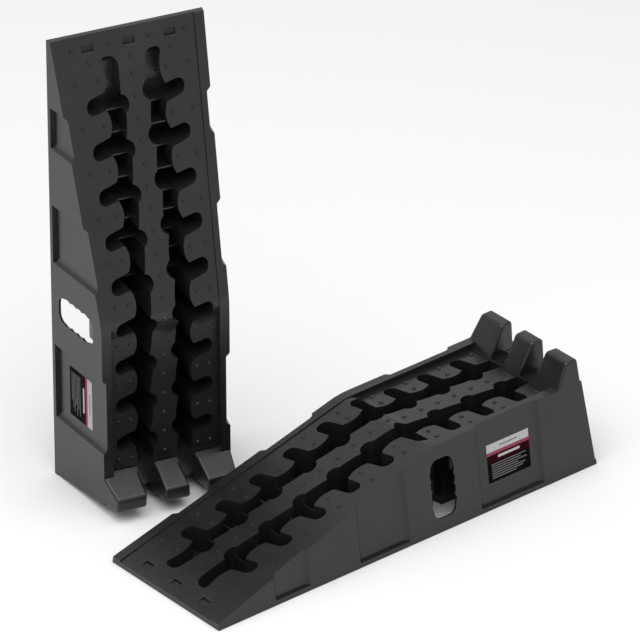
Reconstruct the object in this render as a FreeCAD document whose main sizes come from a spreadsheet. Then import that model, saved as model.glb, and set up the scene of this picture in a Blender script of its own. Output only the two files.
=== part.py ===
import FreeCAD, Part
import math
import os
import Sketcher

from FreeCAD import Placement, Rotation, Vector

# A pair of drive-on leveling ramps.  Ramp one lies on its base and ramp two
# stands upright on the back edge of its base.  Both come from one mould.
#
# A ramp's own frame: X runs up the slope from the low lip, Y runs across it,
# Z is up from the base, and the origin is the middle of the low base edge.
# The set's frame: origin at the bottom centre of the box round both ramps.

doc = FreeCAD.newDocument("leveling_block_set")
sheet = doc.addObject("Spreadsheet::Sheet", "dims")

DIMENSIONS = [
    # outer wedge
    ("ramp_length", 897.5),
    ("base_width", 303.0),
    ("side_draft", 0.15),
    ("lip_height", 13.0),
    ("crease_at", 510.0),
    ("crease_height", 170.0),
    ("rear_height", 172.0),
    ("crease_radius", 150.0),
    ("flange_height", 9.0),
    ("flange_step", 2.5),
    ("back_draft", 0.1),
    # deck, sunk between two side rims
    ("rim_width", 19.0),
    ("first_sink", 2.5),
    ("second_sink", 10.0),
    ("step_start", 525.0),
    ("step_end", 542.0),
    # wheel stops
    ("stop_foot", 818.0),
    ("stop_height", 218.0),
    ("stop_slope", 1.95),
    ("stop_front_radius", 9.0),
    ("stop_back_radius", 7.0),
    ("stop_side_radius", 5.0),
    ("gap_inner_front", 22.0),
    ("gap_inner_back", 31.0),
    ("gap_outer_front", 57.5),
    ("gap_outer_back", 67.0),
    ("gap_depth", 3.0),
    ("gap_floor_end", 861.0),
    ("gap_wall_reach", 20.0),
    ("gap_ledge", 1.5),
    ("end_rib_at", 812.0),
    ("end_rib_width", 3.0),
    # shell, skirts round the channels, and cross ribs
    ("wall", 4.0),
    ("skirt", 3.0),
    ("rib_thickness", 3.0),
    ("rib_count", 17.0),
    ("first_rib_at", 145.0),
    ("rib_drop", 20.0),
    ("rib_top_limit", 82.0),
    ("hand_bay_start", 470.0),
    ("hand_bay_end", 636.0),
    ("hand_bay_inner", 78.0),
    ("hand_bay_height", 80.0),
    ("solid_lip", 44.0),
    # winding channels
    ("lobe_count", 9.0),
    ("first_lobe_at", 122.0),
    ("lobe_pitch", 79.7),
    ("channel_start", 45.0),
    ("pocket_floor", 6.0),
    ("pocket_end", 118.0),
    ("trough_floor", 2.5),
    # recessed side panels
    ("panel_depth", 7.5),
    ("panel_one_start", 132.5),
    ("panel_one_end", 214.5),
    ("panel_two_start", 330.5),
    ("panel_two_end", 449.0),
    ("panel_three_start", 619.5),
    ("panel_three_end", 772.0),
    # hand hole with finger scallops, one in each side wall
    ("hand_hole_at", 535.0),
    ("hand_hole_bottom", 26.0),
    ("hand_hole_top", 142.0),
    ("hand_hole_half_width", 26.0),
    ("scallop_pitch", 20.0),
    ("scallop_depth", 2.8),
    ("scallop_count", 4.0),
    # grip pads plugged through the low lip
    ("slot_at", 25.0),
    ("slot_length", 13.0),
    ("slot_width", 22.0),
    ("slot_spacing", 80.0),
    ("pad_length", 28.0),
    ("pad_width", 54.0),
    ("pad_thickness", 4.0),
    ("plug_top", 14.5),
    # raised studs on the deck
    ("stud_base_radius", 4.6),
    ("stud_top_radius", 3.0),
    ("stud_height", 2.8),
    ("stud_row_at", 82.0),
    ("land_stud_offset", 66.0),
    # printed label in the rear panel of the right-hand side
    ("label_length", 101.0),
    ("label_height", 76.0),
    ("label_thickness", 0.4),
    ("label_at", 647.5),
    ("label_bottom", 46.5),
    # where the two ramps sit in the set
    ("set_centre_along", 448.75),
    ("set_centre_across", 155.5),
    ("standing_along", 258.4),
    ("standing_across", 423.0),
    ("standing_turn", -15.1),
    # how far a cutting tool runs past what it cuts
    ("overrun", 60.0),
    ("tool_height", 300.0),
]
for row, (alias, number) in enumerate(DIMENSIONS, start=1):
    sheet.set("A%d" % row, alias)
    sheet.set("B%d" % row, str(number))
    sheet.setAlias("B%d" % row, alias)
doc.recompute()


def size(alias):
    return float(sheet.get(alias))


def bind(target, **formulas):
    """Tie properties of an object to the sheet's cells."""
    for prop, formula in formulas.items():
        target.setExpression(prop, formula)


# Sketch planes: the profile plane looks along +Y, the section plane along X.
PLAN = Rotation()
PROFILE = Rotation(Vector(1, 0, 0), 90)
SECTION = Rotation(Vector(1, 1, 1), 120)


def outline(name, plane, corners, origin=Vector(0, 0, 0)):
    """A closed sketch of straight lines, each corner bound to two formulas."""
    sketch = doc.addObject("Sketcher::SketchObject", name)
    sketch.Placement = Placement(origin, plane)
    spots = [[float(sketch.evalExpression(f)) for f in corner] for corner in corners]
    count = len(corners)
    for i, (across, up) in enumerate(spots):
        after = spots[(i + 1) % count]
        sketch.addGeometry(Part.LineSegment(Vector(across, up, 0), Vector(after[0], after[1], 0)))
    for i in range(count):
        sketch.addConstraint(Sketcher.Constraint("Coincident", i, 2, (i + 1) % count, 1))
    for i, corner in enumerate(corners):
        for kind, formula, spot in zip(("DistanceX", "DistanceY"), corner, spots[i]):
            index = sketch.addConstraint(Sketcher.Constraint(kind, -1, 1, i, 1, spot))
            sketch.setExpression("Constraints[%d]" % index, formula)
    return sketch


def extrusion(name, base, direction, length, symmetric=False):
    """A prism of a sketch or wire along a direction, its length a formula."""
    solid = doc.addObject("Part::Extrusion", name)
    solid.Base = base
    solid.DirMode = "Custom"
    solid.Dir = direction
    solid.Solid = True
    solid.Symmetric = symmetric
    bind(solid, LengthFwd=length)
    return solid


def cut(name, base, tool):
    result = doc.addObject("Part::Cut", name)
    result.Base = base
    result.Tool = tool
    return result


def join(name, shapes):
    result = doc.addObject("Part::MultiFuse", name)
    result.Shapes = shapes
    result.Refine = False
    return result


def overlap(name, shapes):
    result = doc.addObject("Part::MultiCommon", name)
    result.Shapes = shapes
    return result


def mirrored(name, source):
    """The same shape on the other side of the ramp's centre plane."""
    result = doc.addObject("Part::Mirroring", name)
    result.Source = source
    result.Base = Vector(0, 0, 0)
    result.Normal = Vector(0, 1, 0)
    return result


def rounded(name, base, rounds):
    """Fillets on the edges across the ramp nearest to each (x, z, radius)."""
    doc.recompute()
    fillet = doc.addObject("Part::Fillet", name)
    fillet.Base = base
    chosen = []
    for along, height, radius in rounds:
        def distance(pair):
            box = pair[1].BoundBox
            spread = (box.XLength + box.ZLength) * 10
            return spread + math.hypot(box.Center.x - along, box.Center.z - height)
        index = min(enumerate(base.Shape.Edges, start=1), key=distance)[0]
        chosen.append((index, radius, radius))
    fillet.Edges = chosen
    return fillet


def side_rounded(name, base, radius, floor):
    """A part with the edges rounded that run along its sides, above a floor."""
    doc.recompute()
    fillet = doc.addObject("Part::Fillet", name)
    fillet.Base = base
    picked = []
    for i, edge in enumerate(base.Shape.Edges):
        box = edge.BoundBox
        if edge.CenterOfMass.z > floor + 1 and box.YLength < box.XLength + box.ZLength:
            picked.append((i + 1, radius, radius))
    fillet.Edges = picked
    return fillet


def feature(name, shape):
    result = doc.addObject("Part::Feature", name)
    result.Shape = shape
    return result


def rim_z(along):
    """Height of the rims' top edge over a point along the ramp."""
    first_rise = (size("crease_height") - size("lip_height")) / size("crease_at")
    run = size("ramp_length") - size("crease_at")
    second_rise = (size("rear_height") - size("crease_height")) / run
    if along < size("crease_at"):
        return size("lip_height") + first_rise * along
    return size("crease_height") + second_rise * (along - size("crease_at"))


def deck_z(along):
    """Height of the deck between the rims."""
    if along < size("step_end"):
        return rim_z(along) - size("first_sink")
    return size("crease_height") - size("second_sink")


def side_y(height):
    """Half the ramp's width at a height."""
    return size("base_width") / 2 - size("side_draft") * height


# ---------------------------------------------------------------- outer wedge

REAR = "(dims.ramp_length - dims.flange_step - dims.back_draft * (dims.%s - dims.flange_height))"

wedge_outline = outline("wedge_outline", PROFILE, [
    ("0", "0"),
    ("dims.ramp_length", "0"),
    ("dims.ramp_length", "dims.flange_height"),
    ("dims.ramp_length - dims.flange_step", "dims.flange_height"),
    (REAR % "rear_height", "dims.rear_height"),
    ("dims.crease_at", "dims.crease_height"),
    ("0", "dims.lip_height"),
])
wedge_slab = extrusion("wedge_slab", wedge_outline, Vector(0, 1, 0), "dims.base_width", True)
wedge = rounded("wedge", wedge_slab, [
    (size("crease_at"), size("crease_height"), size("crease_radius")),
])

# The wheel stops' profile: a sloping front face, a level top and the back.
STOP_ROOT = "(dims.crease_height - dims.second_sink - dims.wall)"
stop_outline = outline("stop_outline", PROFILE, [
    ("dims.stop_foot - dims.wall / dims.stop_slope", STOP_ROOT),
    (REAR % "crease_height", STOP_ROOT),
    (REAR % "stop_height", "dims.stop_height"),
    ("dims.stop_foot + (dims.stop_height - dims.crease_height + dims.second_sink)"
     " / dims.stop_slope", "dims.stop_height"),
])
stop_slab = extrusion("stop_slab", stop_outline, Vector(0, 1, 0), "dims.base_width", True)
stop_rise = size("stop_height") - size("crease_height") + size("second_sink")
stop_front = size("stop_foot") + stop_rise / size("stop_slope")
stop_back = (size("ramp_length") - size("flange_step")
             - size("back_draft") * (size("stop_height") - size("flange_height")))
stop_bar = rounded("stop_bar", stop_slab, [
    (stop_front, size("stop_height"), size("stop_front_radius")),
    (stop_back, size("stop_height"), size("stop_back_radius")),
])


def drafted_bar(name, inset):
    """A bar along the ramp whose two sides lean in with the side walls."""
    half = "(dims.base_width / 2 - %s)" % inset
    lean = "dims.side_draft * dims.tool_height"
    section = outline(name + "_section", SECTION, [
        ("-" + half, "0"),
        (half, "0"),
        ("%s - %s" % (half, lean), "dims.tool_height"),
        ("-%s + %s" % (half, lean), "dims.tool_height"),
    ], Vector(-size("overrun"), 0, 0))
    return extrusion(name, section, Vector(1, 0, 0), "dims.ramp_length + 2 * dims.overrun")


def stop_gap(name, inset, depth):
    """The space between two stops, on both sides of the middle one."""
    deck = size("crease_height") - size("second_sink")
    plan = outline(name + "_plan", PLAN, [
        ("dims.end_rib_at + dims.end_rib_width", "dims.gap_inner_front + " + inset),
        ("dims.end_rib_at + dims.end_rib_width", "dims.gap_outer_front - " + inset),
        ("dims.ramp_length + dims.overrun", "dims.gap_outer_back - " + inset),
        ("dims.ramp_length + dims.overrun", "dims.gap_inner_back + " + inset),
    ], Vector(0, 0, deck - depth))
    left = extrusion(name + "_left", plan, Vector(0, 0, 1), "dims.tool_height")
    return [left, mirrored(name + "_right", left)]


# Three stops: the bar is cut through by two gaps, and the stops' side edges are rounded.
stop_bar_drafted = overlap("stop_bar_drafted", [stop_bar, drafted_bar("stop_limits", "0")])
stop_blocks = cut("stop_blocks", stop_bar_drafted,
                  join("stop_splits", stop_gap("split_gap", "0", size("gap_wall_reach"))))
stops = side_rounded("stops", stop_blocks, size("stop_side_radius"),
                     size("crease_height") - size("second_sink") - size("wall"))

outer_blank = join("outer_blank", [wedge, stops])
outer = overlap("outer", [outer_blank, drafted_bar("side_limits", "0")])

# ----------------------------------------------------------------------- deck

deck_tray_outline = outline("deck_tray_outline", PROFILE, [
    ("-dims.overrun", "dims.lip_height - dims.first_sink"
     " - dims.overrun * (dims.crease_height - dims.lip_height) / dims.crease_at"),
    ("dims.crease_at", "dims.crease_height - dims.first_sink"),
    ("dims.step_start", "dims.crease_height - dims.first_sink"),
    ("dims.step_end", "dims.crease_height - dims.second_sink"),
    ("dims.stop_foot", "dims.crease_height - dims.second_sink"),
    ("dims.stop_foot + 3 * dims.second_sink / dims.stop_slope",
     "dims.crease_height + 2 * dims.second_sink"),
    ("dims.stop_foot + 3 * dims.second_sink / dims.stop_slope", "dims.tool_height"),
    ("-dims.overrun", "dims.tool_height"),
])
deck_tray_slab = extrusion("deck_tray_slab", deck_tray_outline, Vector(0, 1, 0),
                           "dims.base_width", True)
deck_tray_bent = rounded("deck_tray_bent", deck_tray_slab, [
    (size("crease_at"), size("crease_height") - size("first_sink"), size("crease_radius") / 3),
])
deck_tray = overlap("deck_tray", [deck_tray_bent, drafted_bar("rim_limits", "dims.rim_width")])

# ------------------------------------------------------------ winding channels


def channel_outline(turned):
    """The plan of one channel: a trough with a long outer and a short inner lobe
    at every station.  The two channels are the same shape, one turned end for end
    about its stations, so their lobes lean opposite ways."""
    way = -1.0 if turned else 1.0
    pitch = size("lobe_pitch")
    stations = [size("first_lobe_at") + pitch * i + (5.0 if turned else 0.0)
                for i in range(int(size("lobe_count")))]
    start = size("channel_start")
    end = size("end_rib_at")
    outer_lobe = [(-10.5, 59.0), (-15.5, 83.0), (-13.0, 90.5), (0.0, 95.0),
                  (11.0, 90.5), (14.5, 84.0), (22.0, 58.5)]
    inner_lobe = [(-21.5, 22.0), (-4.5, 14.0), (12.5, 28.0)]
    if turned:
        outer_lobe = [(-u, v) for u, v in reversed(outer_lobe)]
        inner_lobe = [(-u, v) for u, v in reversed(inner_lobe)]
    edges = []
    # outer side, from the low end up
    here = Vector(start, 45, 0)
    corner = Vector(start + 9, 58, 0)
    edges.append(Part.Arc(here, Vector(start + 1.5, 54, 0), corner))
    for x in stations:
        spots = [Vector(x + u, v, 0) for u, v in outer_lobe]
        middle = (corner + spots[0]) * 0.5
        edges.append(Part.Arc(corner, Vector(middle.x, 52.5, 0), spots[0]))
        edges.append(Part.LineSegment(spots[0], spots[1]))
        edges.append(Part.Arc(spots[1], spots[2], spots[3]))
        edges.append(Part.Arc(spots[3], spots[4], spots[5]))
        edges.append(Part.LineSegment(spots[5], spots[6]))
        corner = spots[6]
    close_outer = Vector(end, 54, 0)
    edges.append(Part.Arc(corner, (corner + close_outer) * 0.5 - Vector(0, 1.0, 0), close_outer))
    # the flat end, then the inner side back down
    close_inner = Vector(end, 24, 0)
    edges.append(Part.LineSegment(close_outer, close_inner))
    corner = close_inner
    sag = 24.0
    for x in reversed(stations):
        spots = [Vector(x + u, v, 0) for u, v in reversed(inner_lobe)]
        middle = (corner + spots[0]) * 0.5
        edges.append(Part.Arc(corner, Vector(middle.x, middle.y - 1.0, 0), spots[0]))
        edges.append(Part.Arc(spots[0], spots[1], spots[2]))
        corner = spots[2]
    low = Vector(start + 19, 26, 0)
    edges.append(Part.Arc(corner, (corner + low) * 0.5 - Vector(0, 0.8, 0), low))
    edges.append(Part.Arc(low, Vector(start + 5.5, 31, 0), Vector(start, 40, 0)))
    edges.append(Part.LineSegment(Vector(start, 40, 0), here))
    wire = Part.Wire([edge.toShape() for edge in edges])
    if turned:
        wire = wire.mirror(Vector(0, 0, 0), Vector(0, 1, 0))
    return Part.Face(wire)


channel_tools = []
skirt_tools = []
for label, turned in (("left", False), ("right", True)):
    face = channel_outline(turned)
    trough = face.copy()
    trough.translate(Vector(0, 0, size("trough_floor")))
    plan = feature("%s_channel_plan" % label, trough)
    channel_tools.append(extrusion("%s_channel" % label, plan, Vector(0, 0, 1),
                                   "dims.tool_height"))
    grown = face.makeOffset2D(size("skirt"))
    grown.translate(Vector(0, 0, -1))
    skirt_plan = feature("%s_skirt_plan" % label, grown)
    skirt_tools.append(extrusion("%s_skirt" % label, skirt_plan, Vector(0, 0, 1),
                                 "dims.tool_height"))

# ------------------------------------------------------------------ cross ribs


def rib_stations():
    half_pitch = size("lobe_pitch") / 2
    return [size("first_rib_at") + half_pitch * i for i in range(int(size("rib_count")))]


def rib_plate(name, along):
    plate = doc.addObject("Part::Box", name)
    bind(plate, Length="dims.rib_thickness", Width="dims.base_width")
    plate.Placement.Base = Vector(along, -size("base_width") / 2, 0)
    return plate


# In the channels the ribs stop well below the deck; under the deck they meet it.
low_ribs = []
for i, along in enumerate(rib_stations()):
    plate = rib_plate("low_rib_%02d" % (i + 1), along)
    plate.Height = min(deck_z(along) - size("rib_drop"), size("rib_top_limit"))
    low_ribs.append(plate)
lip_ribs = [size("first_rib_at") - size("lobe_pitch") / 2 * i for i in (2, 1)]
full_ribs = []
for i, along in enumerate(lip_ribs + rib_stations()):
    plate = rib_plate("full_rib_%02d" % (i + 1), along)
    bind(plate, Height="dims.tool_height")
    full_ribs.append(plate)

# Each channel starts as a shallow pocket, its floor rising in a curve to the
# deck, and drops to the trough's floor before the first rib.
channel_start_outline = outline("channel_start_outline", PROFILE, [
    ("dims.channel_start - 1", "0"),
    ("dims.pocket_end", "0"),
    ("dims.pocket_end", "dims.pocket_floor"),
    ("dims.channel_start + 17", "dims.pocket_floor"),
    ("dims.channel_start + 9", "dims.pocket_floor + 3"),
    ("dims.channel_start + 4", "dims.pocket_floor + 8"),
    ("dims.channel_start - 1", "dims.pocket_floor + 19"),
])
channel_start = extrusion("channel_start_ramp", channel_start_outline, Vector(0, 1, 0),
                          "dims.base_width", True)


def hand_bay(name, inner, height):
    """The room for a hand behind the hand hole in each side wall."""
    plan = outline(name + "_plan", PLAN, [
        ("dims.hand_bay_start", "-dims.base_width / 2 - 1"),
        ("dims.hand_bay_end", "-dims.base_width / 2 - 1"),
        ("dims.hand_bay_end", "-" + inner),
        ("dims.hand_bay_start", "-" + inner),
    ], Vector(0, 0, -1))
    right = extrusion(name + "_right", plan, Vector(0, 0, 1), height)
    return join(name, [right, mirrored(name + "_left", right)])


# The channels keep a wall and a floor of their own above the hand bays.
bay_lining = hand_bay("bay_lining", "(dims.hand_bay_inner - dims.skirt)",
                      "dims.hand_bay_height + dims.skirt")
channel_pair = join("channel_pair", channel_tools)
channel_fill = join("channel_fill", low_ribs + [channel_start, bay_lining])
channel_cut = cut("channel_cut", channel_pair, channel_fill)

# ------------------------------------------------------------- side panels

PANELS = ("panel_one", "panel_two", "panel_three")


def side_prism(name, corners, from_height):
    """A prism that rises along the leaning right-hand side wall."""
    origin = Vector(0, -side_y(from_height), from_height)
    plan = outline(name + "_plan", PLAN, corners, origin)
    return extrusion(name, plan, Vector(0, size("side_draft"), 1), "dims.tool_height")


panel_tools = []
panel_backs = []
for panel in PANELS:
    start = "dims.%s_start" % panel
    end = "dims.%s_end" % panel
    recess = side_prism(panel + "_recess", [
        (start, "-dims.overrun"),
        (start, "0"),
        (start + " + dims.panel_depth", "dims.panel_depth"),
        (end + " - 1.5 * dims.panel_depth", "dims.panel_depth"),
        (end + " - 0.7 * dims.panel_depth", "0.75 * dims.panel_depth"),
        (end, "0"),
        (end, "-dims.overrun"),
    ], size("flange_height"))
    back = side_prism(panel + "_back", [
        (start + " - dims.wall", "-1"),
        (start + " - dims.wall", "dims.wall"),
        (start + " + dims.panel_depth", "dims.panel_depth + dims.wall"),
        (end + " - dims.panel_depth", "dims.panel_depth + dims.wall"),
        (end + " + dims.wall", "dims.wall"),
        (end + " + dims.wall", "-1"),
    ], 0.0)
    panel_tools += [recess, mirrored(panel + "_recess_left", recess)]
    panel_backs += [back, mirrored(panel + "_back_left", back)]

# -------------------------------------------------------- gaps between stops

# The gaps step in by a narrow ledge at deck level, down to their floor.
gaps = stop_gap("upper_gap", "0", 0.0) + stop_gap("lower_gap", "dims.gap_ledge", size("gap_depth"))

# Behind each gap's floor the rear edge slopes down to the rear wall.
GAP_FLOOR = "(dims.crease_height - dims.second_sink - dims.gap_depth)"
rear_bevel_outline = outline("rear_bevel_outline", PROFILE, [
    ("dims.gap_floor_end - 1", GAP_FLOOR + " + 1"),
    ("dims.gap_floor_end + 2 * dims.gap_wall_reach", GAP_FLOOR + " - 2 * dims.gap_wall_reach"),
    ("dims.gap_floor_end + 2 * dims.gap_wall_reach", GAP_FLOOR + " + 1"),
])
rear_bevel_slab = extrusion("rear_bevel_slab", rear_bevel_outline, Vector(0, 1, 0),
                            "dims.base_width", True)
rear_gaps = join("rear_gaps", stop_gap("rear_gap", "dims.gap_ledge", 3 * size("gap_wall_reach")))
gaps.append(overlap("rear_bevels", [rear_bevel_slab, rear_gaps]))

# -------------------------------------------------------------- hollow inside

UNDER_DECK = "(dims.crease_height - dims.second_sink - dims.wall)"
UNDER_GAP = "(dims.crease_height - dims.second_sink - dims.gap_depth - dims.wall)"
REAR_INSIDE = "(dims.ramp_length - dims.flange_step - dims.wall)"
UNDER_BEVEL = ("((dims.gap_floor_end + %s - 1.42 * dims.wall - %s) / (1 - dims.back_draft))"
               % (GAP_FLOOR, REAR_INSIDE))
RISE = "(dims.crease_height - dims.lip_height) / dims.crease_at"
hollow_outline = outline("hollow_outline", PROFILE, [
    ("dims.solid_lip", "-dims.overrun"),
    ("dims.solid_lip", "dims.lip_height - dims.first_sink - dims.wall * 1.1"
     " + dims.solid_lip * " + RISE),
    ("dims.crease_at - dims.second_sink", UNDER_DECK + " - dims.wall / 8"),
    ("dims.end_rib_at - dims.wall", UNDER_DECK),
    ("dims.end_rib_at - dims.wall", UNDER_GAP),
    ("dims.gap_floor_end - 0.42 * dims.wall", UNDER_GAP),
    (REAR_INSIDE + " - dims.back_draft * " + UNDER_BEVEL, UNDER_BEVEL),
    (REAR_INSIDE, "0"),
    (REAR_INSIDE, "-dims.overrun"),
])
hollow_slab = extrusion("hollow_slab", hollow_outline, Vector(0, 1, 0), "dims.base_width", True)

stop_hollow_outline = outline("stop_hollow_outline", PROFILE, [
    ("dims.stop_foot + dims.wall", UNDER_GAP + " - dims.gap_wall_reach"),
    (REAR % "crease_height" + " - dims.wall", UNDER_GAP + " - dims.gap_wall_reach"),
    (REAR % "stop_height" + " - dims.wall", "dims.stop_height - 2 * dims.wall"),
    ("dims.stop_foot + (dims.stop_height - dims.crease_height) / dims.stop_slope"
     " + dims.wall", "dims.stop_height - 2 * dims.wall"),
    ("dims.stop_foot + dims.wall", UNDER_DECK + " - dims.wall"),
])
stop_hollow_slab = extrusion("stop_hollow_slab", stop_hollow_outline, Vector(0, 1, 0),
                             "dims.base_width", True)
gap_walls = join("gap_walls", stop_gap("gap_wall", "(-dims.wall)",
                                       size("gap_depth") + size("wall") + size("gap_wall_reach")))
stop_hollow = cut("stop_hollow", stop_hollow_slab, gap_walls)

# The stops' side walls run down to the base as ribs under the gaps' floors.
stop_rib_set = []
for i, alias in enumerate(("gap_inner_front", "gap_outer_front")):
    rib = doc.addObject("Part::Box", "stop_rib_%d" % (i + 1))
    bind(rib, Length="dims.ramp_length - dims.end_rib_at", Width="dims.rib_thickness",
         Height="dims.tool_height / 2")
    rib.Placement.Base = Vector(size("end_rib_at") - 1, size(alias), -1)
    stop_rib_set += [rib, mirrored("stop_rib_%d_right" % (i + 1), rib)]
stop_ribs = join("stop_ribs", stop_rib_set)

hollow_blank = join("hollow_blank", [hollow_slab, stop_hollow])
hollow_open = overlap("hollow_open", [hollow_blank, drafted_bar("wall_limits", "dims.wall")])

# Behind each hand hole the cross ribs are left out, and the channels stop short.
land_ribs = cut("land_ribs", join("rib_set", full_ribs),
                hand_bay("rib_bay", "dims.hand_bay_inner", "dims.tool_height"))
troughs = cut("troughs", join("trough_blocks", skirt_tools),
              hand_bay("trough_bay", "dims.hand_bay_inner", "dims.hand_bay_height + 1"))

kept_inside = join("kept_inside", [land_ribs, troughs, stop_ribs] + panel_backs)
hollow = cut("hollow", hollow_open, kept_inside)

# ------------------------------------------------------------------ hand holes


def hand_hole_face():
    """An upright oblong hole with finger scallops down both long sides."""
    middle = size("hand_hole_at")
    half = size("hand_hole_half_width")
    bottom = size("hand_hole_bottom")
    top = size("hand_hole_top")
    pitch = size("scallop_pitch")
    count = int(size("scallop_count"))
    depth = size("scallop_depth")
    first = (bottom + top - pitch * count) / 2
    flat = half * 0.35
    edges = []

    def spot(side, inward, height):
        return Vector(middle + side * inward, 0, height)

    for side, order in ((1, range(count)), (-1, range(count - 1, -1, -1))):
        for i in order:
            ends = [first + pitch * i, first + pitch * (i + 1)]
            if side < 0:
                ends.reverse()
            crest = spot(side, half + depth, (ends[0] + ends[1]) / 2)
            edges.append(Part.Arc(spot(side, half, ends[0]), crest, spot(side, half, ends[1])))
        last = top if side > 0 else bottom
        reach = first + pitch * count if side > 0 else first
        bend = (reach + 2.2 * last) / 3.2
        edges.append(Part.Arc(spot(side, half, reach), spot(side, half * 0.84, bend),
                              spot(side, flat, last)))
        edges.append(Part.LineSegment(spot(side, flat, last), spot(-side, flat, last)))
        edges.append(Part.Arc(spot(-side, flat, last), spot(-side, half * 0.84, bend),
                              spot(-side, half, reach)))
    return Part.Face(Part.Wire([edge.toShape() for edge in edges]))


hole_face = hand_hole_face()
hole_face.translate(Vector(0, -size("base_width") / 2 - 1, 0))
hand_hole_plan = feature("hand_hole_plan", hole_face)
hand_hole_right = extrusion("hand_hole_right", hand_hole_plan, Vector(0, 1, 0),
                            "dims.base_width / 2 - 105 + 1")
hand_hole_left = mirrored("hand_hole_left", hand_hole_right)

# ----------------------------------------------- slots and seats for grip pads

lip_cuts = []
for place, offset in (("left", 1), ("middle", 0), ("right", -1)):
    slot = doc.addObject("Part::Box", "slot_" + place)
    bind(slot, Length="dims.slot_length", Width="dims.slot_width", Height="dims.tool_height")
    corner = Vector(size("slot_at") - size("slot_length") / 2,
                    offset * size("slot_spacing") - size("slot_width") / 2, -1)
    slot.Placement.Base = corner
    seat = doc.addObject("Part::Box", "seat_" + place)
    bind(seat, Length="dims.pad_length", Width="dims.pad_width",
         Height="dims.pad_thickness + dims.overrun")
    seat.Placement.Base = Vector(size("slot_at") - size("pad_length") / 2,
                                 offset * size("slot_spacing") - size("pad_width") / 2,
                                 -size("overrun"))
    lip_cuts += [slot, seat]

# ----------------------------------------------------------------------- studs


def stud_places():
    """Where the deck's round studs stand, as (along, across)."""
    row = size("stud_row_at")
    pitch = size("lobe_pitch")
    places = []
    for i in range(10):
        along = row + pitch * i
        edge = side_y(rim_z(along)) - size("rim_width") - 16
        for across in (edge, size("land_stud_offset")):
            places += [(along, across), (along, -across)]
    places += [(row + pitch / 2 * i, 0) for i in range(19)]
    for along, across in ((22, 110), (22, 39.5), (50, 80)):
        places += [(along, across), (along, -across)]
    places.append((50, 0))
    return places


studs = []
for along, across in stud_places():
    rise = math.degrees(math.atan2(rim_z(along + 1) - rim_z(along), 1))
    stud = Part.makeCone(size("stud_base_radius"), size("stud_top_radius"),
                         size("stud_height") + 0.5)
    stud.Placement = Placement(Vector(along, across, deck_z(along) - 0.5),
                               Rotation(Vector(0, 1, 0), -rise))
    studs.append(stud)
stud_field = feature("stud_field", Part.makeCompound(studs))

# A low bead runs across the deck in front of the stops.
bead_outline = outline("bead_outline", PROFILE, [
    ("dims.end_rib_at", "dims.crease_height - 2 * dims.second_sink"),
    ("dims.end_rib_at + dims.end_rib_width", "dims.crease_height - 2 * dims.second_sink"),
    ("dims.end_rib_at + dims.end_rib_width", "dims.crease_height - dims.second_sink + 2"),
    ("dims.end_rib_at", "dims.crease_height - dims.second_sink + 2"),
])
bead = extrusion("end_bead", bead_outline, Vector(0, 1, 0), "200", True)

# ------------------------------------------------------------ the whole mould

shell = cut("shell", outer, deck_tray)
removed = join("removed", [hollow, channel_cut, hand_hole_right, hand_hole_left]
               + gaps + panel_tools + lip_cuts)
body = cut("bare_moulding", shell, removed)
moulding = join("moulding", [body, stud_field, bead])
doc.recompute()

# ----------------------------------------------------- where the ramps stand

LYING = Placement(Vector(-size("set_centre_along"), -size("set_centre_across"), 0), Rotation())
turn = math.radians(size("standing_turn"))
across_axis = Vector(math.cos(turn), math.sin(turn), 0)
up_slope_axis = Vector(0, 0, -1)
normal_axis = up_slope_axis.cross(across_axis)
STANDING = Placement(FreeCAD.Matrix(
    up_slope_axis.x, across_axis.x, normal_axis.x, size("standing_along") - size("set_centre_along"),
    up_slope_axis.y, across_axis.y, normal_axis.y, size("standing_across") - size("set_centre_across"),
    up_slope_axis.z, across_axis.z, normal_axis.z, size("ramp_length"),
    0, 0, 0, 1))

nodes = []


def ramp(node, where):
    """One ramp: the moulding, set down where it stands."""
    part = doc.addObject("Part::Compound", node)
    part.Label = node
    part.Links = [moulding]
    doc.recompute()
    part.Placement = where
    nodes.append(part)


def grip_pad(node, where, offset):
    """A rubber pad under the low lip, with a plug up through its slot."""
    body = doc.addObject("PartDesign::Body", node)
    body.Label = node
    for step, (length, width, height) in enumerate((("pad_length", "pad_width", "pad_thickness"),
                                                    ("slot_length", "slot_width", "plug_top"))):
        sketch = body.newObject("Sketcher::SketchObject", "%s_sketch_%d" % (node, step))
        plane = [f for f in body.Origin.OriginFeatures if f.Role == "XY_Plane"][0]
        sketch.AttachmentSupport = [(plane, "")]
        sketch.MapMode = "FlatFace"
        rectangle(sketch, length, width)
        doc.recompute()
        pad = body.newObject("PartDesign::Pad", "%s_pad_%d" % (node, step))
        pad.Profile = sketch
        bind(pad, Length="dims." + height)
        doc.recompute()
    local = Placement(Vector(size("slot_at"), offset * size("slot_spacing"), 0), Rotation())
    body.Placement = where.multiply(local)
    nodes.append(body)


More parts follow.
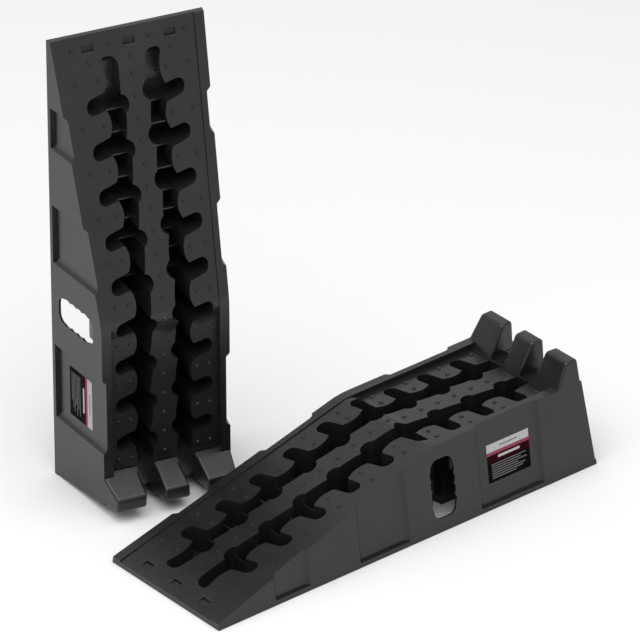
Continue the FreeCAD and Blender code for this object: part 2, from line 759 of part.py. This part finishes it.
def rectangle(sketch, length, width):
    """A rectangle centred on the sketch's origin, its two sizes bound."""
    half_length = size(length) / 2
    half_width = size(width) / 2
    spots = [Vector(-half_length, -half_width, 0), Vector(half_length, -half_width, 0),
             Vector(half_length, half_width, 0), Vector(-half_length, half_width, 0)]
    for i in range(4):
        sketch.addGeometry(Part.LineSegment(spots[i], spots[(i + 1) % 4]))
    for i in range(4):
        sketch.addConstraint(Sketcher.Constraint("Coincident", i, 2, (i + 1) % 4, 1))
    for i, kind in enumerate(("Horizontal", "Vertical", "Horizontal", "Vertical")):
        sketch.addConstraint(Sketcher.Constraint(kind, i))
    sketch.addConstraint(Sketcher.Constraint("Symmetric", 0, 1, 2, 1, -1, 1))
    along = sketch.addConstraint(Sketcher.Constraint("DistanceX", 0, 1, 0, 2, size(length)))
    sketch.setExpression("Constraints[%d]" % along, "dims." + length)
    across = sketch.addConstraint(Sketcher.Constraint("DistanceY", 1, 1, 1, 2, size(width)))
    sketch.setExpression("Constraints[%d]" % across, "dims." + width)


def label_sticker(node, where):
    """A thin printed sheet on the floor of the rear right-hand panel."""
    body = doc.addObject("PartDesign::Body", node)
    body.Label = node
    sketch = body.newObject("Sketcher::SketchObject", node + "_sketch")
    plane = [f for f in body.Origin.OriginFeatures if f.Role == "XY_Plane"][0]
    sketch.AttachmentSupport = [(plane, "")]
    sketch.MapMode = "FlatFace"
    rectangle(sketch, "label_length", "label_height")
    doc.recompute()
    pad = body.newObject("PartDesign::Pad", node + "_pad")
    pad.Profile = sketch
    bind(pad, Length="dims.label_thickness")
    doc.recompute()
    lean = math.degrees(math.atan(size("side_draft")))
    middle_height = size("label_bottom") + size("label_height") / 2 * math.cos(math.radians(lean))
    local = Placement(Vector(size("label_at") + size("label_length") / 2,
                             -side_y(middle_height) + size("panel_depth"), middle_height),
                      Rotation(Vector(1, 0, 0), 90 - lean))
    body.Placement = where.multiply(local)
    nodes.append(body)


for number, where in (("one", LYING), ("two", STANDING)):
    ramp("ramp_" + number, where)
    label_sticker("label_" + number, where)
    for place, offset in (("left", 1), ("middle", 0), ("right", -1)):
        grip_pad("grip_pad_%s_%s" % (place, number), where, offset)
doc.recompute()

# ---------------------------------------------------------------------- output

for thing in doc.Objects:
    if "Invalid" in thing.State or "Error" in thing.State:
        raise RuntimeError("%s failed: %s" % (thing.Name, thing.State))
for node in nodes:
    shape = node.Shape
    if shape.isNull() or not shape.isValid() or not shape.Solids:
        raise RuntimeError("%s has no valid solid" % node.Label)

os.makedirs("parts", exist_ok=True)
for node in nodes:
    node.Shape.exportStep("parts/%s.step" % node.Label)
    box = node.Shape.BoundBox
    print("%-24s solids %d  volume %.0f mm3  x %.1f..%.1f  y %.1f..%.1f  z %.1f..%.1f" % (
        node.Label, len(node.Shape.Solids), node.Shape.Volume,
        box.XMin, box.XMax, box.YMin, box.YMax, box.ZMin, box.ZMax))
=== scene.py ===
import math

import bmesh
import bpy
from mathutils import Matrix, Vector


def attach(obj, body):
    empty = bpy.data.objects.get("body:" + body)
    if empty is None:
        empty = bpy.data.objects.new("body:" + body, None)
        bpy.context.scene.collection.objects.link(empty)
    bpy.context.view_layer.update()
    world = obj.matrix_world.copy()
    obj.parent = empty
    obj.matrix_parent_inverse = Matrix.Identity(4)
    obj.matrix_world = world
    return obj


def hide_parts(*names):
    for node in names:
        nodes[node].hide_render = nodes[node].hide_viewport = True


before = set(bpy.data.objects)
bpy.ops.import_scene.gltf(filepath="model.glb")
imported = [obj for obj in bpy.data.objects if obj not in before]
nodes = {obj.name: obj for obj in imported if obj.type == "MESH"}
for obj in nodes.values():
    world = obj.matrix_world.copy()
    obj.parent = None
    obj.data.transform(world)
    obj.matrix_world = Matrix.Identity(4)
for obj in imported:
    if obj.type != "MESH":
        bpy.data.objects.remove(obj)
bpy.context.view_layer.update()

scene = bpy.context.scene

BODY = {"one": "lying_ramp", "two": "standing_ramp"}

# Each ramp's own frame in the set: +X up its slope, +Y across, +Z off its base.
TURN = math.radians(-15.1)
ACROSS = Vector((math.cos(TURN), math.sin(TURN), 0))
DOWN = Vector((0, 0, -1))
RAMP_FRAME = {
    "one": Matrix.Translation((-0.44875, -0.1555, 0)),
    "two": Matrix.Translation((-0.19035, 0.2675, 0.8975))
           @ Matrix((DOWN, ACROSS, DOWN.cross(ACROSS))).transposed().to_4x4(),
}


# ------------------------------------------------------------------- materials

def new_material(name):
    material = bpy.data.materials.new(name)
    material.use_nodes = True
    tree = material.node_tree
    shader = tree.nodes["Principled BSDF"]
    return material, tree, shader


def link(tree, source, out, target, into):
    tree.links.new(source.outputs[out], target.inputs[into])


def noise(tree, scale, detail=3.0, rough=0.5):
    coords = tree.nodes.new("ShaderNodeTexCoord")
    texture = tree.nodes.new("ShaderNodeTexNoise")
    texture.inputs["Scale"].default_value = scale
    texture.inputs["Detail"].default_value = detail
    texture.inputs["Roughness"].default_value = rough
    link(tree, coords, "Object", texture, "Vector")
    return texture


def ramp_node(tree, source, out, stops):
    band = tree.nodes.new("ShaderNodeValToRGB")
    band.color_ramp.elements[0].position = stops[0][0]
    band.color_ramp.elements[0].color = (*stops[0][1], 1)
    band.color_ramp.elements[1].position = stops[-1][0]
    band.color_ramp.elements[1].color = (*stops[-1][1], 1)
    for position, color in stops[1:-1]:
        band.color_ramp.elements.new(position).color = (*color, 1)
    link(tree, source, out, band, "Fac")
    return band


def to_range(tree, source, out, low, high):
    spread = tree.nodes.new("ShaderNodeMapRange")
    spread.inputs["To Min"].default_value = low
    spread.inputs["To Max"].default_value = high
    link(tree, source, out, spread, "Value")
    return spread


def moulded_plastic():
    """Black plastic with a fine spark-eroded grain and faint flow marks."""
    material, tree, shader = new_material("charcoal_moulding")
    flow = noise(tree, 9.0, 4.0, 0.6)
    tint = ramp_node(tree, flow, "Fac", [
        (0.30, (0.0080, 0.0080, 0.0082)),
        (0.52, (0.0100, 0.0100, 0.0103)),
        (0.75, (0.0125, 0.0125, 0.0128)),
    ])
    link(tree, tint, "Color", shader, "Base Color")
    patches = noise(tree, 30.0, 3.0, 0.55)
    sheen = to_range(tree, patches, "Fac", 0.20, 0.32)
    link(tree, sheen, "Result", shader, "Roughness")
    grain = noise(tree, 900.0, 2.0, 0.6)
    bump = tree.nodes.new("ShaderNodeBump")
    bump.inputs["Strength"].default_value = 0.12
    bump.inputs["Distance"].default_value = 0.0004
    link(tree, grain, "Fac", bump, "Height")
    link(tree, bump, "Normal", shader, "Normal")
    shader.inputs["Specular IOR Level"].default_value = 0.46
    return material


def black_rubber():
    material, tree, shader = new_material("black_rubber")
    mottle = noise(tree, 60.0, 3.0, 0.5)
    tint = ramp_node(tree, mottle, "Fac", [
        (0.3, (0.006, 0.006, 0.007)),
        (0.7, (0.014, 0.014, 0.015)),
    ])
    link(tree, tint, "Color", shader, "Base Color")
    dull = to_range(tree, mottle, "Fac", 0.65, 0.85)
    link(tree, dull, "Result", shader, "Roughness")
    return material


def print_ink(name, dark, light, roughness):
    """One printed colour of the label, very slightly uneven."""
    material, tree, shader = new_material(name)
    mottle = noise(tree, 220.0, 2.0, 0.5)
    tint = ramp_node(tree, mottle, "Fac", [(0.3, dark), (0.7, light)])
    link(tree, tint, "Color", shader, "Base Color")
    shader.inputs["Roughness"].default_value = roughness
    shader.inputs["Specular IOR Level"].default_value = 0.02
    return material


PLASTIC = moulded_plastic()
RUBBER = black_rubber()
INK = {
    "black": print_ink("label_black", (0.002, 0.002, 0.002), (0.003, 0.003, 0.003), 0.6),
    "silver": print_ink("label_silver", (0.36, 0.35, 0.36), (0.44, 0.43, 0.44), 0.5),
    "maroon": print_ink("label_maroon", (0.016, 0.001, 0.003), (0.024, 0.002, 0.004), 0.6),
    "red": print_ink("label_red", (0.20, 0.045, 0.070), (0.26, 0.060, 0.090), 0.6),
    "grey": print_ink("label_grey", (0.11, 0.11, 0.11), (0.16, 0.16, 0.16), 0.6),
}


# ---------------------------------------------------------------- ramp surface

EDGE_ROUND = 0.0009
SHORTEST_EDGE = 2.2 * EDGE_ROUND
NARROWEST_FACE = 1.5 * EDGE_ROUND
SHARP_ANGLE = math.radians(28)
FLAT_ANGLE = math.radians(0.5)
MERGE_DISTANCE = 0.00002
MOST_SIDES = 8


def is_sharp(edge):
    return len(edge.link_faces) == 2 and edge.calc_face_angle(0.0) > SHARP_ANGLE


def has_room(edge):
    """True for an edge whose faces and neighbours can take the rounding."""
    near = [other for vert in edge.verts for other in vert.link_edges]
    if min(other.calc_length() for other in near) < SHORTEST_EDGE:
        return False
    for loop in edge.link_loops:
        along = loop.link_loop_next.vert.co - loop.vert.co
        before = loop.link_loop_prev.vert.co - loop.vert.co
        after = loop.link_loop_next.link_loop_next.vert.co - loop.link_loop_next.vert.co
        for arm, forward in ((before, along), (after, -along)):
            height = arm.cross(forward).length / forward.length
            if arm.dot(forward) > 0 and height < NARROWEST_FACE:
                return False
    return True


def whole_runs(sharp):
    """The sharp edges that can be rounded without stopping part of the way along."""
    rounded = {edge for edge in sharp if has_room(edge)}
    ended = rounded
    while ended:
        ended = {edge for edge in rounded
                 if any(other in sharp and other not in rounded
                        for vert in edge.verts for other in vert.link_edges)}
        rounded = rounded - ended
    return rounded


def moulded_copy(node, body, name):
    """The moulding's own surface, with its roomiest edges slightly rounded."""
    mesh = bpy.data.meshes.new(name)
    work = bmesh.new()
    work.from_mesh(nodes[node].data)
    bmesh.ops.remove_doubles(work, verts=work.verts, dist=MERGE_DISTANCE)
    bmesh.ops.dissolve_degenerate(work, edges=work.edges, dist=MERGE_DISTANCE)
    bmesh.ops.dissolve_limit(work, angle_limit=FLAT_ANGLE, verts=work.verts,
                             edges=work.edges, delimit={"NORMAL"})
    many_sided = [face for face in work.faces if len(face.verts) > MOST_SIDES]
    bmesh.ops.triangulate(work, faces=many_sided)
    work.normal_update()
    weight = work.edges.layers.float.new("bevel_weight_edge")
    sharp = {edge for edge in work.edges if is_sharp(edge)}
    rounded = whole_runs(sharp)
    for edge in rounded:
        edge[weight] = 1.0
    for edge in sharp - rounded:
        edge.smooth = False
    work.to_mesh(mesh)
    work.free()
    piece = bpy.data.objects.new(name, mesh)
    scene.collection.objects.link(piece)
    piece.data.materials.append(PLASTIC)
    bevel = piece.modifiers.new("rounded_edges", "BEVEL")
    bevel.width = EDGE_ROUND
    bevel.segments = 2
    bevel.limit_method = "WEIGHT"
    bevel.use_clamp_overlap = False
    bevel.miter_outer = "MITER_ARC"
    for polygon in mesh.polygons:
        polygon.use_smooth = True
    smooth = piece.modifiers.new("face_normals", "WEIGHTED_NORMAL")
    smooth.keep_sharp = True
    smooth.weight = 90
    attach(piece, body)
    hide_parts(node)


# ---------------------------------------------------------------- printed label

LABEL_LENGTH = 0.101
LABEL_HEIGHT = 0.076
LABEL_THICKNESS = 0.0004
LABEL_START = 0.6475
LABEL_FOOT = 0.0465
WALL_FOOT = 0.1515
WALL_LEAN = 0.15
PANEL_DEPTH = 0.0075


def label_regions():
    """Rectangles of the print from the lower left: x0, x1, y0, y1, ink."""
    regions = [
        (0.0, 0.101, 0.0600, 0.076, "silver"),
        (0.030, 0.074, 0.0665, 0.0690, "grey"),
        (0.0, 0.101, 0.0535, 0.0600, "red"),
        (0.0, 0.101, 0.0385, 0.0535, "maroon"),
        (0.026, 0.078, 0.0445, 0.0495, "silver"),
    ]
    for i, length in enumerate((0.082, 0.070, 0.084, 0.064, 0.080, 0.074, 0.058)):
        low = 0.0335 - i * 0.0045
        regions.append((0.009, 0.009 + length, low, low + 0.0019, "grey"))
    return regions


def ink_at(x, y, regions):
    ink = "black"
    for x0, x1, y0, y1, name in regions:
        if x0 <= x <= x1 and y0 <= y <= y1:
            ink = name
    return ink


def label(number):
    """A printed sheet: one grid of faces, each face in one ink."""
    node = "label_" + number
    regions = label_regions()
    xs = sorted({round(v, 5) for r in regions for v in r[:2]} | {0.0, LABEL_LENGTH})
    ys = sorted({round(v, 5) for r in regions for v in r[2:4]} | {0.0, LABEL_HEIGHT})
    name = "printed_label_" + number
    mesh = bpy.data.meshes.new(name)
    work = bmesh.new()
    inks = list(INK)
    corners = [[work.verts.new((x - LABEL_LENGTH / 2, y - LABEL_HEIGHT / 2, LABEL_THICKNESS))
                for x in xs] for y in ys]
    for j in range(len(ys) - 1):
        for i in range(len(xs) - 1):
            face = work.faces.new((corners[j][i], corners[j][i + 1],
                                   corners[j + 1][i + 1], corners[j + 1][i]))
            middle = ((xs[i] + xs[i + 1]) / 2, (ys[j] + ys[j + 1]) / 2)
            face.material_index = inks.index(ink_at(*middle, regions))
    top = list(work.faces)
    back = bmesh.ops.extrude_face_region(work, geom=top)
    moved = [g for g in back["geom"] if isinstance(g, bmesh.types.BMVert)]
    bmesh.ops.translate(work, verts=moved, vec=(0, 0, -LABEL_THICKNESS))
    bmesh.ops.recalc_face_normals(work, faces=work.faces)
    work.to_mesh(mesh)
    work.free()
    for ink in INK.values():
        mesh.materials.append(ink)
    piece = bpy.data.objects.new(name, mesh)
    scene.collection.objects.link(piece)
    lean = math.atan(WALL_LEAN)
    middle_height = LABEL_FOOT + LABEL_HEIGHT / 2 * math.cos(lean)
    wall = PANEL_DEPTH - (WALL_FOOT - WALL_LEAN * middle_height)
    local = (Matrix.Translation((LABEL_START + LABEL_LENGTH / 2, wall, middle_height))
             @ Matrix.Rotation(math.pi / 2 - lean, 4, "X"))
    piece.matrix_world = RAMP_FRAME[number] @ local
    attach(piece, BODY[number])
    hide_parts(node)


for number in ("one", "two"):
    moulded_copy("ramp_" + number, BODY[number], "moulded_ramp_" + number)
    label(number)
    for place in ("left", "middle", "right"):
        pad = nodes["grip_pad_%s_%s" % (place, number)]
        pad.data.materials.clear()
        pad.data.materials.append(RUBBER)

# ------------------------------------------------------------------- the studio

FLOOR_HALF_WIDTH = 14.0
FLOOR_GAP = 0.0005
floor_mesh = bpy.data.meshes.new("studio_floor")
work = bmesh.new()
bmesh.ops.create_grid(work, x_segments=1, y_segments=1, size=FLOOR_HALF_WIDTH)
work.to_mesh(floor_mesh)
work.free()
floor = bpy.data.objects.new("studio_floor", floor_mesh)
floor.location = (0, 0, -FLOOR_GAP)
scene.collection.objects.link(floor)
floor_paint, floor_tree, floor_shader = new_material("pale_floor")
floor_shader.inputs["Base Color"].default_value = (0.72, 0.72, 0.72, 1)
floor_shader.inputs["Roughness"].default_value = 0.9
floor_shader.inputs["Specular IOR Level"].default_value = 0.1
floor_mesh.materials.append(floor_paint)

world = bpy.data.worlds.new("studio")
world.use_nodes = True
world.node_tree.nodes["Background"].inputs["Color"].default_value = (1, 1, 1, 1)
world.node_tree.nodes["Background"].inputs["Strength"].default_value = 0.8
scene.world = world
scene.view_settings.view_transform = "Standard"


def softbox(name, where, target, width, height, power):
    light = bpy.data.lights.new(name, "AREA")
    light.shape = "RECTANGLE"
    light.size = width
    light.size_y = height
    light.energy = power
    lamp = bpy.data.objects.new(name, light)
    lamp.location = where
    aim = Vector(target) - Vector(where)
    lamp.rotation_euler = aim.to_track_quat("-Z", "Y").to_euler()
    scene.collection.objects.link(lamp)


softbox("top_box", (-1.2, -0.8, 4.5), (0, 0, 0), 5.0, 5.0, 215)

CAMERA_BELOW_LEVEL = 29.895
CAMERA_HEADING = 50.105
camera_data = bpy.data.cameras.new("camera")
camera_data.sensor_width = 36.0
camera_data.lens = 408.7
camera_data.clip_end = 100
camera = bpy.data.objects.new("camera", camera_data)
camera.location = (-7.29715, -8.7784, 6.8980)
camera.rotation_euler = (math.radians(90 - CAMERA_BELOW_LEVEL), 0,
                         math.radians(CAMERA_HEADING - 90))
scene.collection.objects.link(camera)
scene.camera = camera
